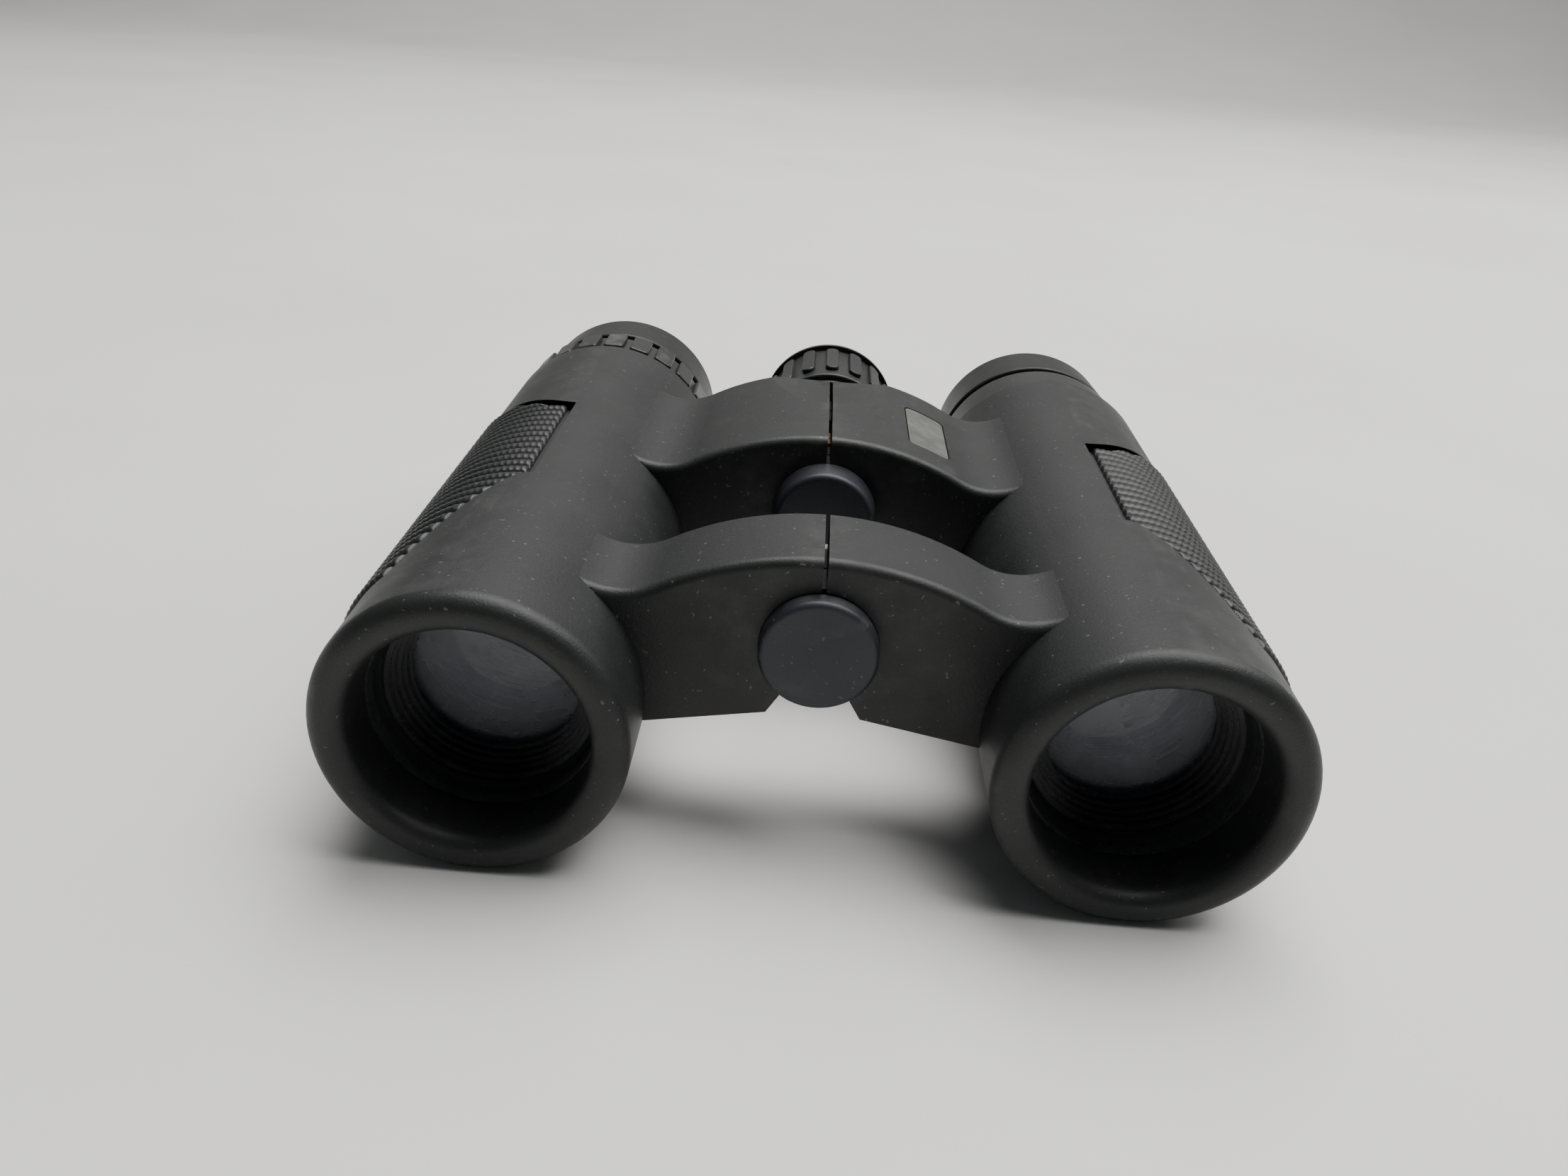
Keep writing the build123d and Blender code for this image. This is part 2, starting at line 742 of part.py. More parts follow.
# ---------------------------------------------------------------- prisms
cage_start = focus_room_end + 0.6
cage_end = collar_start - 4.3
prism_half_width = 8.0
prism_half_height = 8.0


def prism_block(outline, start):
    """Prism with its faces across X, from (station, height) points."""
    face = make_face(Polyline(*outline, close=True))
    block = extrude(Plane.YZ * face, amount=prism_half_width, both=True)
    return Pos(0, start, 0) * block


def half_penta_prism():
    """First prism: upright entrance face, sloping faces behind."""
    low = -prism_half_height
    high = prism_half_height
    return prism_block([(0, low), (0, high), (5.6, high), (8.4, 1.2), (3.0, low)], cage_start + 1.4)


def roof_prism():
    """Second prism: upright exit face towards the eyepiece."""
    low = -prism_half_height
    high = prism_half_height + 0.2
    return prism_block([(0, low), (5.5, 2.2), (3.1, high), (9.4, high), (9.4, low)], cage_start + 5.2)


def prism_cage():
    """Round carrier with a window at each end and a pocket for the two prisms."""
    wall = 1.0
    side_play = 0.05
    window_radius = 7.4
    length = cage_end - cage_start
    pocket = Box(2 * (prism_half_width + side_play), length - 2 * wall, 2 * prism_half_height + 0.6)
    body = disc(cell_radius, cage_start, length) - Pos(0, cage_start + length / 2, 0) * pocket
    return body - disc(window_radius, cage_start - 1, cage_end)


# ---------------------------------------------------------------- eyepieces
field_lens_radius = 8.6
field_cell_start = collar_start - 1.5
field_cell_length = 7.4
diopter_slot_start = collar_start + 2.2
diopter_boss_radius = 0.9
boss_station = diopter_slot_start + diopter_travel + 0.2 + diopter_boss_radius
eyecup_bore = neck_radius + running_clearance
sleeve_radius = eyecup_bore + sleeve_wall


def eyepiece_tube(side):
    """Ocular tube screwed into the housing, with the neck that carries ring and eyecup."""
    flange = housing_radius - 0.2
    flange_start = housing_end + 0.1
    flange_end = collar_start - 0.1
    seat = collar_start - 3.9
    mouth = neck_bore - 1.2
    mouth_start = neck_end - 0.8
    tube = turned([
        (neck_bore, seat), (cell_radius, seat), (cell_radius, flange_start), (flange, flange_start),
        (flange, flange_end), (neck_radius, flange_end), (neck_radius, neck_end), (mouth, neck_end),
        (mouth, mouth_start), (neck_bore, mouth_start),
    ])
    if side == "left":
        slot_radius = diopter_boss_radius + 0.1
        depth = 6.0
        travel = 2 * (diopter_travel + 0.2)
        end = Cylinder(slot_radius, depth)
        slot = end + Pos(0, travel, 0) * end + Pos(0, travel / 2, 0) * Box(2 * slot_radius, travel, depth)
        tube -= Pos(0, boss_station - travel / 2, neck_bore + 1) * slot
    return for_side(on_barrel(tube), side)


def field_cell(side):
    """Carrier of the field lens; the left one slides and has a boss in the diopter ring."""
    outer = neck_bore - running_clearance
    cell = ring(outer, field_lens_radius + close_gap, field_cell_start, field_cell_length)
    if side == "left":
        boss_height = 3.3
        boss = Cylinder(diopter_boss_radius, boss_height, align=(Align.CENTER, Align.CENTER, Align.MIN))
        cell += Pos(0, boss_station, neck_bore - 1.2) * boss
    return for_side(on_barrel(cell), side)


def field_lens():
    setback = 1.6
    thickness = 4.2
    sag = 0.9
    return lens(field_lens_radius, field_cell_start + setback, thickness, sag, sag)


def eye_lens():
    """Lens next to the eye, held by the lip at the neck's mouth."""
    start = neck_end - 6.6
    thickness = 5.7
    return lens(neck_bore - close_gap, start, thickness, 0.5, 1.3)


def collar():
    """Smooth ring under the right eyecup."""
    bore = neck_radius + close_gap
    return turned(
        [(bore, collar_start), (collar_radius, collar_start), (collar_radius, collar_end),
         (bore, collar_end)],
        [((collar_radius, collar_start), 0.5), ((collar_radius, collar_end), 0.8)])


def diopter_ring():
    """Ribbed ring under the left eyecup, with a groove inside for the cell's boss."""
    bore = neck_radius + running_clearance
    body = turned(
        [(bore, collar_start), (diopter_base_radius, collar_start), (diopter_base_radius, collar_end),
         (bore, collar_end)],
        [((diopter_base_radius, collar_end), 0.5)])
    rib = extrude(RectangleRounded(diopter_rib_width, diopter_rib_length, 0.5), amount=diopter_radius)
    rib = fillet(rib.edges().group_by(Axis.Z)[-1], 0.3)
    middle = (collar_start + collar_end) / 2
    ribs = [
        Pos(0, middle, 0) * Rot(0, index * 360 / diopter_ribs, 0) * rib for index in range(diopter_ribs)
    ]
    body = body + ribs - disc(bore, 0, overall_length)
    groove_depth = 1.2
    groove_half = diopter_travel + diopter_boss_radius + 0.4
    groove = ring(neck_radius + groove_depth, neck_bore, boss_station - groove_half, 2 * groove_half)
    return mirror(on_barrel(body - groove), about=Plane.YZ)


def eyecup_guide_ring():
    """Dark ring on the neck that turns with the eyecup and lifts it."""
    return ring(guide_ring_radius, eyecup_bore, guide_ring_start, guide_ring_length)


def eyecup_sleeve():
    """Hard lining of the eyecup, sliding on the neck."""
    return ring(sleeve_radius, eyecup_bore, eyecup_start, sleeve_end - eyecup_start)


def eyecup_rubber():
    """Soft cup with a turned-in mouth."""
    return turned(
        [(sleeve_radius, eyecup_start), (eyecup_base_radius, eyecup_start),
         (eyecup_rim_radius, overall_length), (eyecup_mouth_radius, overall_length),
         (eyecup_mouth_radius, sleeve_end), (sleeve_radius, sleeve_end)],
        [((eyecup_base_radius, eyecup_start), 0.4), ((eyecup_rim_radius, overall_length), 1.3),
         ((eyecup_mouth_radius, overall_length), 1.0)])


# ---------------------------------------------------------------- export
def both_sides(name, shape):
    """The same round piece on each barrel."""
    return {f"{name}_{side}": Pos(sign * half_spacing, 0, 0) * shape for side, sign in sides.items()}


def handed(name, maker):
    return {f"{name}_{side}": maker(side) for side in sides}


def all_nodes():
    nodes = {
        "collar_right": on_barrel(collar()),
        "diopter_ring_left": diopter_ring(),
        "front_axle": front_axle(),
        "front_cap": front_cap(),
        "middle_pin": middle_pin(),
        "rear_cap": rear_cap(),
        "rear_hinge_tube": rear_tube(),
        "hinge_bushes": hinge_bushes(),
        "thrust_washers": thrust_washers(),
        "focus_wheel_core": focus_wheel_core(),
        "focus_wheel_grip": focus_wheel_grip(),
        "focus_wheel_cap": focus_wheel_cap(),
        "focus_screw": focus_screw(),
        "focus_nut": focus_nut(),
        "fork_clip": fork_clip(),
        "name_plate": name_plate(),
    }
    for name, maker in (("housing", housing), ("armour", armour), ("grip", grip), ("strap_lug", strap_lug),
                        ("focus_fork", fork), ("focus_cell", focus_cell), ("eyepiece_tube", eyepiece_tube),
                        ("field_cell", field_cell)):
        nodes.update(handed(name, maker))
    for name, maker in (("objective_cell", objective_cell), ("objective_seal", objective_seal),
                        ("objective_retainer", objective_retainer), ("objective_lens", objective_lens),
                        ("baffle_tube", baffle_tube), ("focus_lens", focus_lens),
                        ("prism_cage", prism_cage),
                        ("roof_prism", roof_prism), ("half_penta_prism", half_penta_prism),
                        ("field_lens", field_lens), ("eye_lens", eye_lens),
                        ("eyecup_guide_ring", eyecup_guide_ring), ("eyecup_sleeve", eyecup_sleeve),
                        ("eyecup_rubber", eyecup_rubber)):
        nodes.update(both_sides(name, maker()))
    return nodes


def main():
    os.makedirs("parts", exist_ok=True)
    place = Location((0, -overall_length / 2, armour_radius))
    for name, shape in all_nodes().items():
        solids = ShapeList(shape).solids() if isinstance(shape, list) else shape.solids()
        export_step(Compound(children=[place * solid for solid in solids]), f"parts/{name}.step")


main()
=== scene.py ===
import math

import bmesh
import bpy
import numpy as np
from mathutils import Matrix, Vector


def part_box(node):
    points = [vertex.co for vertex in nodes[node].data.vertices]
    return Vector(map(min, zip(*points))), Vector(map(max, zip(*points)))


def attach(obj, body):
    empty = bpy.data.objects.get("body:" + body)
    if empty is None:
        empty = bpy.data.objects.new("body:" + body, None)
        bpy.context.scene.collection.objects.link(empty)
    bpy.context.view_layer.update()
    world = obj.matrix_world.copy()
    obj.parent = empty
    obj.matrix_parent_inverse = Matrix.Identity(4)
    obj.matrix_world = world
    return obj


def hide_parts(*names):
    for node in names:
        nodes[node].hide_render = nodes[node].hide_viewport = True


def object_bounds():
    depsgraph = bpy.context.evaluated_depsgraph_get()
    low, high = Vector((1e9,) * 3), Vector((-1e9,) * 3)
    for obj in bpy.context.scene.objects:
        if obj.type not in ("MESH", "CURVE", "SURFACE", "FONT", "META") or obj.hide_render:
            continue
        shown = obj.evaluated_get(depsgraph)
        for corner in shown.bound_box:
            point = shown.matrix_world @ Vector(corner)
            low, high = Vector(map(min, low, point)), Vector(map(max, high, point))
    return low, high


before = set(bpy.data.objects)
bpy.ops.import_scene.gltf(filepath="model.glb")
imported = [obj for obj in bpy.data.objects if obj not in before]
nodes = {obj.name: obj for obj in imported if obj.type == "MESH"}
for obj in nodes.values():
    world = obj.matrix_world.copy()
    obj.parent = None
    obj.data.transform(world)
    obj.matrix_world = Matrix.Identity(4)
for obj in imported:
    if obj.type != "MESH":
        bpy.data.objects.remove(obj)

MM = 0.001
cad_low, cad_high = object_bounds()
sides = {"left": -1, "right": 1}

# ------------------------------------------------------------------ places taken from the frame
lens_low, lens_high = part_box("objective_lens_right")
half_spacing = (lens_low[0] + lens_high[0]) / 2
axis_height = (lens_low[2] + lens_high[2]) / 2
armour_radius = axis_height             # the barrels rest on the ground
rim_y = cad_low.y


# ------------------------------------------------------------------ material helpers
MIX_COLOUR_A, MIX_COLOUR_B, MIX_COLOUR_RESULT = 6, 7, 2     # the colour sockets of a Mix node


class Shade:
    """A small builder round one material's node tree."""

    def __init__(self, name):
        self.material = bpy.data.materials.new(name)
        self.material.use_nodes = True
        self.tree = self.material.node_tree
        self.shader = self.tree.nodes["Principled BSDF"]
        self.place = self.add("ShaderNodeTexCoord").outputs["Object"]

    def add(self, kind, **settings):
        node = self.tree.nodes.new(kind)
        for key, value in settings.items():
            setattr(node, key, value)
        return node

    def join(self, source, target):
        self.tree.links.new(source, target)

    def set(self, **sockets):
        """Constant values straight on the shader's own sockets."""
        for name, value in sockets.items():
            self.shader.inputs[name.replace("_", " ")].default_value = value

    def noise(self, feature, detail=3.0, stretch=(1, 1, 1)):
        """Noise with features of about the given size in metres."""
        scaled = self.add("ShaderNodeMapping")
        scaled.inputs["Scale"].default_value = stretch
        self.join(self.place, scaled.inputs["Vector"])
        texture = self.add("ShaderNodeTexNoise")
        texture.inputs["Scale"].default_value = 1.0 / feature
        texture.inputs["Detail"].default_value = detail
        texture.inputs["Roughness"].default_value = 0.55
        self.join(scaled.outputs["Vector"], texture.inputs["Vector"])
        return texture.outputs["Fac"]

    def remap(self, value, low, high, to_low, to_high):
        node = self.add("ShaderNodeMapRange")
        ends = {"From Min": low, "From Max": high, "To Min": to_low, "To Max": to_high}
        for name, number in ends.items():
            node.inputs[name].default_value = number
        self.join(value, node.inputs["Value"])
        return node.outputs["Result"]

    def maths(self, operation, first, second):
        node = self.add("ShaderNodeMath", operation=operation)
        for socket, value in zip(node.inputs, (first, second)):
            if isinstance(value, (int, float)):
                socket.default_value = value
            else:
                self.join(value, socket)
        return node.outputs["Value"]

    def mix(self, factor, first, second):
        """Colour mix; first and second are colours or sockets."""
        node = self.add("ShaderNodeMix", data_type="RGBA")
        self.join(factor, node.inputs["Factor"])
        for socket, value in ((node.inputs[MIX_COLOUR_A], first), (node.inputs[MIX_COLOUR_B], second)):
            if isinstance(value, tuple):
                socket.default_value = (*value, 1.0)
            else:
                self.join(value, socket)
        return node.outputs[MIX_COLOUR_RESULT]

    def colour(self, socket):
        self.join(socket, self.shader.inputs["Base Color"])

    def rough(self, socket):
        self.join(socket, self.shader.inputs["Roughness"])

    def bump(self, *layers):
        """Stack of (height socket, distance in metres, strength)."""
        normal = None
        for height, distance, strength in layers:
            node = self.add("ShaderNodeBump")
            node.inputs["Distance"].default_value = distance
            node.inputs["Strength"].default_value = strength
            self.join(height, node.inputs["Height"])
            if normal is not None:
                self.join(normal, node.inputs["Normal"])
            normal = node.outputs["Normal"]
        self.join(normal, self.shader.inputs["Normal"])

    def edge_wear(self):
        """White on convex edges, broken up by noise."""
        pointiness = self.add("ShaderNodeNewGeometry").outputs["Pointiness"]
        pointy = self.remap(pointiness, 0.515, 0.56, 0.0, 1.0)
        return self.maths("MULTIPLY", pointy, self.remap(self.noise(0.003), 0.4, 0.65, 0.0, 1.0))

    def specks(self):
        """Sparse fine dust."""
        threshold = 0.80
        return self.remap(self.noise(0.0005, detail=0.0), threshold, threshold + 0.03, 0.0, 1.0)

    def axis_distance(self):
        """Distance from the nearer barrel's axis, in metres."""
        parts = self.add("ShaderNodeSeparateXYZ")
        self.join(self.place, parts.inputs["Vector"])
        from_middle = self.maths("ABSOLUTE", parts.outputs["X"], 0.0)
        across = self.maths("SUBTRACT", from_middle, half_spacing)
        upward = self.maths("SUBTRACT", parts.outputs["Z"], axis_height)
        squares = self.maths("ADD", self.maths("POWER", across, 2.0),
                             self.maths("POWER", upward, 2.0))
        return self.maths("SQRT", squares, 0.0)


DUST = (0.14, 0.135, 0.125)


def brightened(colour, times):
    """The colour with each channel raised, up to white."""
    return tuple(min(1.0, times * channel) for channel in colour)


def moulded(name, base, light, roughness, grain, grain_height, dust=0.5,
            wear=(0.10, 0.10, 0.10), wear_amount=0.35, specular=0.38):
    """Moulded rubber or plastic: mottled colour, fine grain, dust and softly rubbed edges."""
    shade = Shade(name)
    mottle = shade.remap(shade.noise(0.018, detail=5.0), 0.3, 0.7, 0.0, 1.0)
    fine = shade.noise(grain, detail=2.0)
    colour = shade.mix(mottle, base, light)
    speckle = shade.remap(fine, 0.52, 0.75, 0.0, 0.35)
    colour = shade.mix(speckle, colour, brightened(light, 2.2))
    colour = shade.mix(shade.maths("MULTIPLY", shade.edge_wear(), wear_amount), colour, wear)
    colour = shade.mix(shade.maths("MULTIPLY", shade.specks(), dust), colour, DUST)
    shade.colour(colour)
    smudge = shade.remap(shade.noise(0.009, detail=4.0), 0.35, 0.7, roughness - 0.06, roughness + 0.07)
    shade.rough(smudge)
    shade.bump((shade.noise(0.004, detail=2.0), 0.00004, 0.25), (fine, grain_height, 0.8))
    shade.set(Specular_IOR_Level=specular)
    return shade.material


def machined(name, base, light, roughness, metallic):
    """Turned metal: fine rings across the axis, uneven polish."""
    shade = Shade(name)
    rings = shade.noise(0.0005, detail=2.0, stretch=(0.02, 1.0, 0.02))
    colour = shade.mix(shade.remap(rings, 0.35, 0.65, 0.0, 1.0), base, light)
    wear_and_painted_highlight = shade.maths("MULTIPLY", shade.edge_wear(), 0.4)
    colour = shade.mix(wear_and_painted_highlight, colour, brightened(light, 2.0))
    shade.colour(colour)
    shade.rough(shade.remap(shade.noise(0.002), 0.3, 0.7, roughness - 0.06, roughness + 0.08))
    shade.bump((rings, 0.00001, 0.3))
    shade.set(Metallic=metallic)
    return shade.material


def coated_glass(name, tone_and_painted_reflection, alpha, specular=0.5):
    """Coated lens: mostly see-through, with a soft reflection and faint dust; the base tone is partly a
    painted reflection.
    """
    shade = Shade(name)
    haze = shade.remap(shade.noise(0.006, detail=4.0), 0.3, 0.7, 0.0, 1.0)
    dust = shade.specks()
    colour = shade.mix(haze, tone_and_painted_reflection, tuple(1.4 * channel for channel in tone_and_painted_reflection))
    shade.colour(shade.mix(dust, colour, (0.3, 0.3, 0.29)))
    roughness = 0.03
    shade.rough(shade.remap(haze, 0.0, 1.0, roughness, roughness + 0.05))
    hazy = shade.remap(haze, 0.0, 1.0, alpha, alpha + 0.04)
    opacity = shade.maths("ADD", hazy, shade.maths("MULTIPLY", dust, 0.2))
    shade.join(opacity, shade.shader.inputs["Alpha"])
    shade.set(IOR=1.6, Specular_IOR_Level=specular)
    return shade.material


# ------------------------------------------------------------------ materials
armour_rubber = moulded("armour_rubber", (0.0090, 0.0096, 0.0102), (0.0125, 0.0131, 0.0134),
                        0.52, 0.00028, 0.00004, wear=(0.05, 0.05, 0.05))
grip_rubber = moulded("grip_rubber", (0.010, 0.011, 0.011), (0.016, 0.017, 0.017),
                      0.45, 0.0004, 0.00002, dust=0.3, wear_amount=0.2)
eyecup_rubber = moulded("eyecup_rubber", (0.009, 0.0105, 0.010), (0.013, 0.015, 0.014),
                        0.50, 0.00035, 0.00002, wear=(0.04, 0.04, 0.04), specular=0.3)
black_plastic = moulded("black_plastic", (0.014, 0.015, 0.015), (0.020, 0.021, 0.021),
                        0.40, 0.0003, 0.00002, wear_amount=0.5)
cap_plastic = moulded("cap_plastic", (0.016, 0.018, 0.024), (0.020, 0.022, 0.028),
                      0.46, 0.0002, 0.00001, dust=0.4)
plate_plastic = moulded("plate_plastic", (0.070, 0.073, 0.066), (0.083, 0.086, 0.078),
                        0.42, 0.0002, 0.00001, wear=(0.2, 0.2, 0.19))
seal_rubber = moulded("seal_rubber", (0.012, 0.012, 0.012), (0.018, 0.018, 0.018),
                      0.5, 0.0003, 0.00002)
black_metal = machined("black_metal", (0.014, 0.0145, 0.016), (0.028, 0.029, 0.032), 0.30, 0.0)


rib_edge_inside, rib_edge_outside = 11.95 * MM, 12.05 * MM      # radii of the painted highlight on the baffle ribs' lip


def baffle_finish():
    """Matt grey, with a painted highlight in near white on the ribs' inner edges, broken up by noise."""
    shade = Shade("baffle_black")
    edge = shade.remap(shade.axis_distance(), rib_edge_inside, rib_edge_outside, 1.0, 0.0)
    # painted highlight: the ribs' inner lips are coloured near white to stand for light glinting off them
    wear_and_painted_highlight = shade.maths("MULTIPLY", edge, shade.remap(shade.noise(0.004), 0.3, 0.6, 0.55, 1.0))
    grain = shade.noise(0.0004, detail=2.0)
    mottle = shade.remap(grain, 0.3, 0.7, 0.0, 1.0)
    matt = shade.mix(mottle, (0.16, 0.165, 0.18), (0.22, 0.225, 0.24))
    shade.colour(shade.mix(wear_and_painted_highlight, matt, (0.90, 0.91, 0.93)))
    shade.rough(shade.remap(grain, 0.3, 0.7, 0.42, 0.55))
    shade.bump((grain, 0.00002, 0.4))
    return shade.material


baffle_black = baffle_finish()
housing_metal = machined("housing_metal", (0.02, 0.02, 0.021), (0.032, 0.032, 0.034), 0.42, 0.2)
steel = machined("steel", (0.42, 0.42, 0.42), (0.58, 0.58, 0.58), 0.3, 1.0)
brass = machined("brass", (0.55, 0.38, 0.16), (0.70, 0.52, 0.25), 0.32, 1.0)
# painted reflection: the light grey base tone on the objective glass stands in for the lens mirroring the
# room and the lit tube behind it
objective_glass = coated_glass("objective_glass", (0.30, 0.31, 0.345), 0.45, specular=0.25)
eye_glass = coated_glass("eye_glass", (0.012, 0.016, 0.014), 0.88)
prism_glass = coated_glass("prism_glass", (0.10, 0.11, 0.11), 0.4)

finishes = {
    "armour": armour_rubber, "grip": grip_rubber, "housing": housing_metal, "strap_lug": black_metal,
    "objective_cell": black_metal, "objective_seal": seal_rubber, "objective_retainer": black_metal,
    "objective_lens": objective_glass, "baffle_tube": baffle_black, "prism_cage": housing_metal,
    "roof_prism": prism_glass, "half_penta_prism": prism_glass, "eyepiece_tube": black_plastic,
    "eye_lens": eye_glass, "field_lens": eye_glass, "field_cell": black_metal, "focus_fork": brass,
    "focus_cell": black_metal, "focus_lens": eye_glass, "eyecup_guide_ring": black_plastic,
    "eyecup_sleeve": black_plastic, "eyecup_rubber": eyecup_rubber, "collar": black_plastic,
    "diopter_ring": black_plastic, "front_axle": steel, "front_cap": cap_plastic, "middle_pin": steel,
    "rear_cap": cap_plastic, "rear_hinge_tube": steel, "hinge_bushes": brass, "thrust_washers": black_plastic,
    "name_plate": plate_plastic, "focus_wheel_core": black_plastic, "focus_wheel_grip": grip_rubber,
    "focus_wheel_cap": cap_plastic, "focus_screw": steel, "focus_nut": brass, "fork_clip": steel,
}


def paint_frame():
    """Give every carried-over node its finish."""
    for name, node in nodes.items():
        kind = name.removesuffix("_left").removesuffix("_right")
        node.data.materials.clear()
        node.data.materials.append(finishes[kind])


# ------------------------------------------------------------------ ribbed side grips
grip_front = 12.0 * MM          # stations behind the objective rims
grip_belly = 27.7 * MM
grip_tip = 60.0 * MM
grip_rear = 70.0 * MM
grip_front_angle, grip_belly_angle, grip_tip_angle = 41.0, 20.7, 5.0
rib_pitch = 2.2 * MM
tick_pitch = 0.9 * MM
grip_bulge = 1.3 * MM
crest_radius = 17.1 * MM
rib_height = 0.62 * MM
grip_floor = 16.32 * MM         # radius of the pocket under the pad
grip_inset = 0.12 * MM          # gap between the pad and the pocket's wall
bend_back, bend_share = 0.5 * MM, 0.93          # outline's bend behind the tip, and its height
shoulder_back, shoulder_share = 2.4 * MM, 0.78  # outline's shoulder before the rear, and its height
rows_per_rib, columns_per_tick = 14, 6
rib_phase, rib_share = 0.1, 0.86                # where the ribs start, and how much of the pitch one fills
end_fade = 0.7 * MM                             # the ribs run out over this length at the outline
weld_gap, sliver_edge = 0.004 * MM, 0.002 * MM


def circle_through(first, second, third):
    """Centre and radius of the circle through three points (station, height)."""
    (ax, ay), (bx, by), (cx, cy) = first, second, third
    d = 2 * (ax * (by - cy) + bx * (cy - ay) + cx * (ay - by))
    a2, b2, c2 = ax * ax + ay * ay, bx * bx + by * by, cx * cx + cy * cy
    ux = (a2 * (by - cy) + b2 * (cy - ay) + c2 * (ay - by)) / d
    uy = (a2 * (cx - bx) + b2 * (ax - cx) + c2 * (bx - ax)) / d
    return ux, uy, math.hypot(ax - ux, ay - uy)


def leaf_height(station):
    """Half height of the leaf-shaped outline at a station, seen from the side."""
    def edge(angle):
        return armour_radius * math.cos(math.radians(angle))

    corner = (grip_front, edge(grip_front_angle))
    belly = (grip_belly, edge(grip_belly_angle))
    tip = (grip_tip, edge(grip_tip_angle))
    bend = ((grip_tip + grip_rear) / 2 - bend_back, bend_share * armour_radius)
    shoulder = (grip_rear - shoulder_back, shoulder_share * armour_radius)
    end = (grip_rear, 0.0)
    if station <= tip[0]:
        x, y, r = circle_through(corner, belly, tip)
    elif station <= shoulder[0]:
        x, y, r = circle_through(tip, bend, shoulder)
    else:
        x, y, r = circle_through(shoulder, end, (shoulder[0], -shoulder[1]))
    return y + math.sqrt(max(0.0, r * r - (station - x) ** 2))


def grip_pad(side):
    """Pad with half-round cross ribs, each cut by fine ticks along the barrel."""
    sign = sides[side]
    step_y = rib_pitch / rows_per_rib
    step_a = tick_pitch / armour_radius / columns_per_tick
    rows = int((grip_rear - grip_front) / step_y) + 1
    columns = int(math.pi / step_a) + 1
    points = np.zeros((rows, columns, 3))
    for row in range(rows):
        station = min(grip_front + grip_inset + row * step_y, grip_rear - grip_inset)
        limit = max(leaf_height(station) - grip_inset, 0.02 * MM)
        # angle from the outward horizontal at which the outline crosses this row's crest circle
        reach = math.asin(min(limit / crest_radius, 1.0))
        angles = np.clip(np.linspace(-math.pi / 2, math.pi / 2, columns), -reach, reach)
        phase = (station - grip_front) / rib_pitch - rib_phase
        across = abs((phase % 1.0) - 0.5) * 2
        rib = math.sqrt(max(0.0, 1 - (across / rib_share) ** 2)) if across < rib_share else 0.0
        tick = 0.5 + 0.5 * np.cos(2 * math.pi * angles * armour_radius / tick_pitch)
        cut = np.clip((tick - 0.35) / 0.5, 0, 1)
        margin = np.minimum(reach - np.abs(angles), 1.0) * armour_radius
        ends = np.clip(margin / end_fade, 0, 1)
        ends = np.sqrt(1 - (1 - ends) ** 2)
        height = rib_height * rib * (0.90 + 0.10 * cut) * (0.35 + 0.65 * ends)
        radius = crest_radius - rib_height + height
        edge = (np.abs(angles) >= reach - 1e-9) | (row in (0, rows - 1))
        outward = grip_bulge + radius * np.cos(angles)
        upward = radius * np.sin(angles)
        sink = grip_floor / np.hypot(outward, upward)
        outward = np.where(edge, outward * sink, outward)
        upward = np.where(edge, upward * sink, upward)
        points[row, :, 0] = sign * (half_spacing + outward)
        points[row, :, 1] = rim_y + station
        points[row, :, 2] = axis_height + upward
    return grid_piece(f"grip_pad_{side}", points, flip=sign > 0)


def grid_piece(name, points, flip=False):
    """Smooth-shaded mesh from a grid of points, with collapsed cells taken out."""
    rows, columns, _ = points.shape
    mesh = bpy.data.meshes.new(name)
    faces = []
    for row in range(rows - 1):
        for column in range(columns - 1):
            a = row * columns + column
            quad = (a, a + 1, a + columns + 1, a + columns)
            faces.append(quad[::-1] if flip else quad)
    mesh.from_pydata(points.reshape(-1, 3).tolist(), [], faces)
    work = bmesh.new()
    work.from_mesh(mesh)
    bmesh.ops.remove_doubles(work, verts=work.verts, dist=weld_gap)
    bmesh.ops.dissolve_degenerate(work, edges=work.edges, dist=sliver_edge)
    work.to_mesh(mesh)
    work.free()
    for polygon in mesh.polygons:
        polygon.use_smooth = True
    piece = bpy.data.objects.new(name, mesh)
    bpy.context.scene.collection.objects.link(piece)
    return piece


def add_grips():
    for side in sides:
        pad = grip_pad(side)
        pad.data.materials.append(grip_rubber)
        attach(pad, f"{side}_half")
        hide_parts(f"grip_{side}")


# ------------------------------------------------------------------ stage
camera_place = Vector((-3.47, -165.86, 94.25)) * MM
camera_yaw, camera_pitch, camera_roll = 0.0078, -0.470, 0.078
camera_lens, camera_sensor = 28.24, 36.0
camera_near, camera_far = 0.005, 20.0


def add_camera():
    data = bpy.data.cameras.new("camera")
    data.lens = camera_lens
    data.sensor_width = camera_sensor
    data.clip_start = camera_near
    data.clip_end = camera_far
    camera = bpy.data.objects.new("camera", data)
    bpy.context.scene.collection.objects.link(camera)
    aim = Matrix.Rotation(camera_yaw, 3, "Z") @ Matrix.Rotation(camera_pitch, 3, "X")
    right, forward, up = aim.col[0], aim.col[1], aim.col[2]
    cosine, sine = math.cos(camera_roll), math.sin(camera_roll)
    right_rolled = right * cosine + up * sine
    up_rolled = up * cosine - right * sine
    turn = Matrix((right_rolled, up_rolled, -forward)).transposed()
    camera.matrix_world = Matrix.Translation(camera_place) @ turn.to_4x4()
    bpy.context.scene.camera = camera


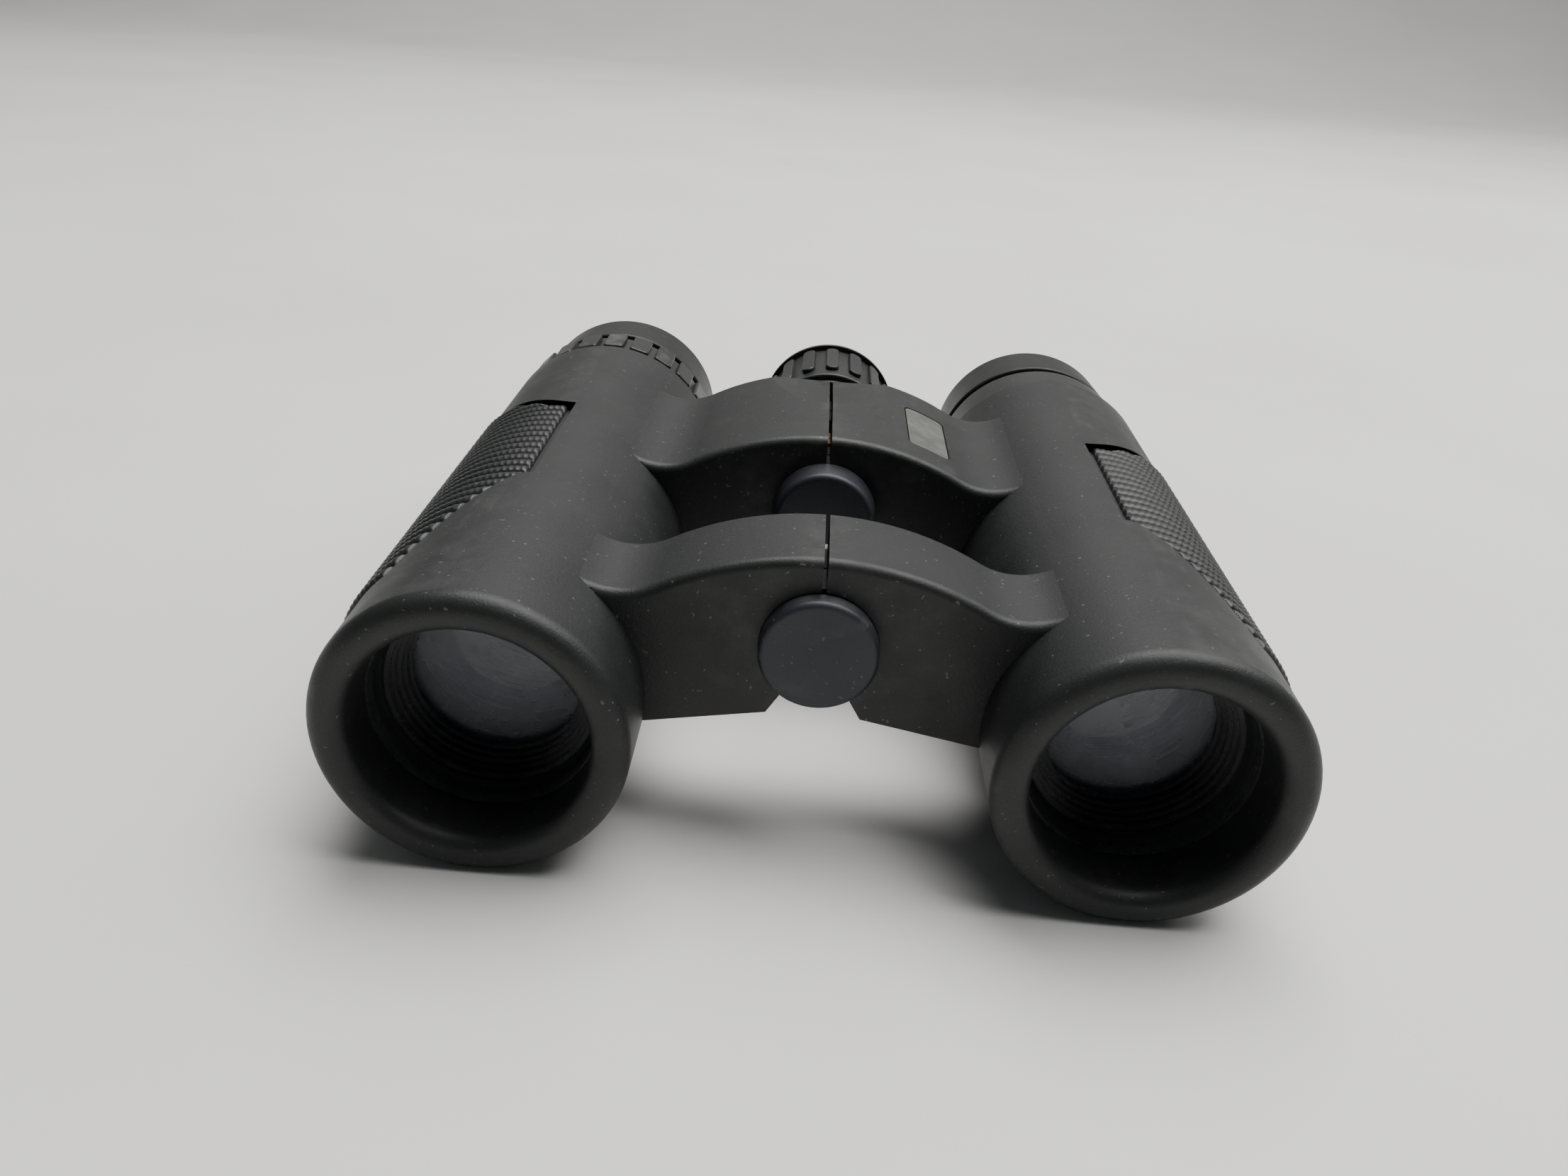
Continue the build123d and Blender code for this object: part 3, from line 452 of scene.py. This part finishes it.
def area_light(name, place, target, size, power, colour):
    data = bpy.data.lights.new(name, "AREA")
    data.shape = "RECTANGLE"
    data.size, data.size_y = size
    data.energy = power
    data.color = colour
    light = bpy.data.objects.new(name, data)
    bpy.context.scene.collection.objects.link(light)
    light.location = place
    light.rotation_mode = "QUATERNION"
    light.rotation_quaternion = (Vector(target) - Vector(place)).to_track_quat("-Z", "Y")


lights = {          # place, target, size, watts, colour
    "overhead": ((0.25, 0.24, 1.15), (0.05, 0.0, 0), (1.4, 0.8), 33.0, (1.0, 0.995, 0.98)),
    "back": ((0.1, 1.0, 0.75), (0, 0, 0), (2.0, 0.5), 1.6, (1.0, 0.99, 0.97)),
    "side": ((0.75, 0.45, 0.6), (0.6, 0.35, 0), (0.5, 0.6), 3.0, (1.0, 0.99, 0.97)),
}


def add_stage():
    """Pale seamless sweep, dim world, and soft lights from above, behind and the side."""
    front, bend, curve, top, half = -1.5, 1.1, 0.7, 2.2, 3.0
    profile = [(front, 0.0), (bend, 0.0)]
    steps = 16
    for step in range(1, steps + 1):
        angle = math.pi / 2 * step / steps
        profile.append((bend + curve * math.sin(angle), curve * (1 - math.cos(angle))))
    profile.append((bend + curve, top))
    points = [(x, y, z) for y, z in profile for x in (-half, half)]
    faces = [(2 * row, 2 * row + 1, 2 * row + 3, 2 * row + 2) for row in range(len(profile) - 1)]
    mesh = bpy.data.meshes.new("floor")
    mesh.from_pydata(points, [], faces)
    for polygon in mesh.polygons:
        polygon.use_smooth = True
    floor = bpy.data.objects.new("floor", mesh)
    bpy.context.scene.collection.objects.link(floor)
    shade = Shade("floor")
    cloud = shade.remap(shade.noise(0.12, detail=4.0), 0.3, 0.7, 0.0, 1.0)
    shade.colour(shade.mix(cloud, (0.66, 0.655, 0.64), (0.70, 0.695, 0.68)))
    shade.rough(shade.remap(cloud, 0.0, 1.0, 0.55, 0.7))
    shade.bump((shade.noise(0.0015), 0.00005, 0.3))
    mesh.materials.append(shade.material)
    world = bpy.data.worlds.new("world")
    world.use_nodes = True
    sky = world.node_tree.nodes["Background"]
    sky.inputs["Color"].default_value = (0.82, 0.86, 0.92, 1.0)
    sky.inputs["Strength"].default_value = 0.09
    bpy.context.scene.world = world
    for name, settings in lights.items():
        area_light(name, *settings)


paint_frame()
add_grips()
add_camera()
add_stage()
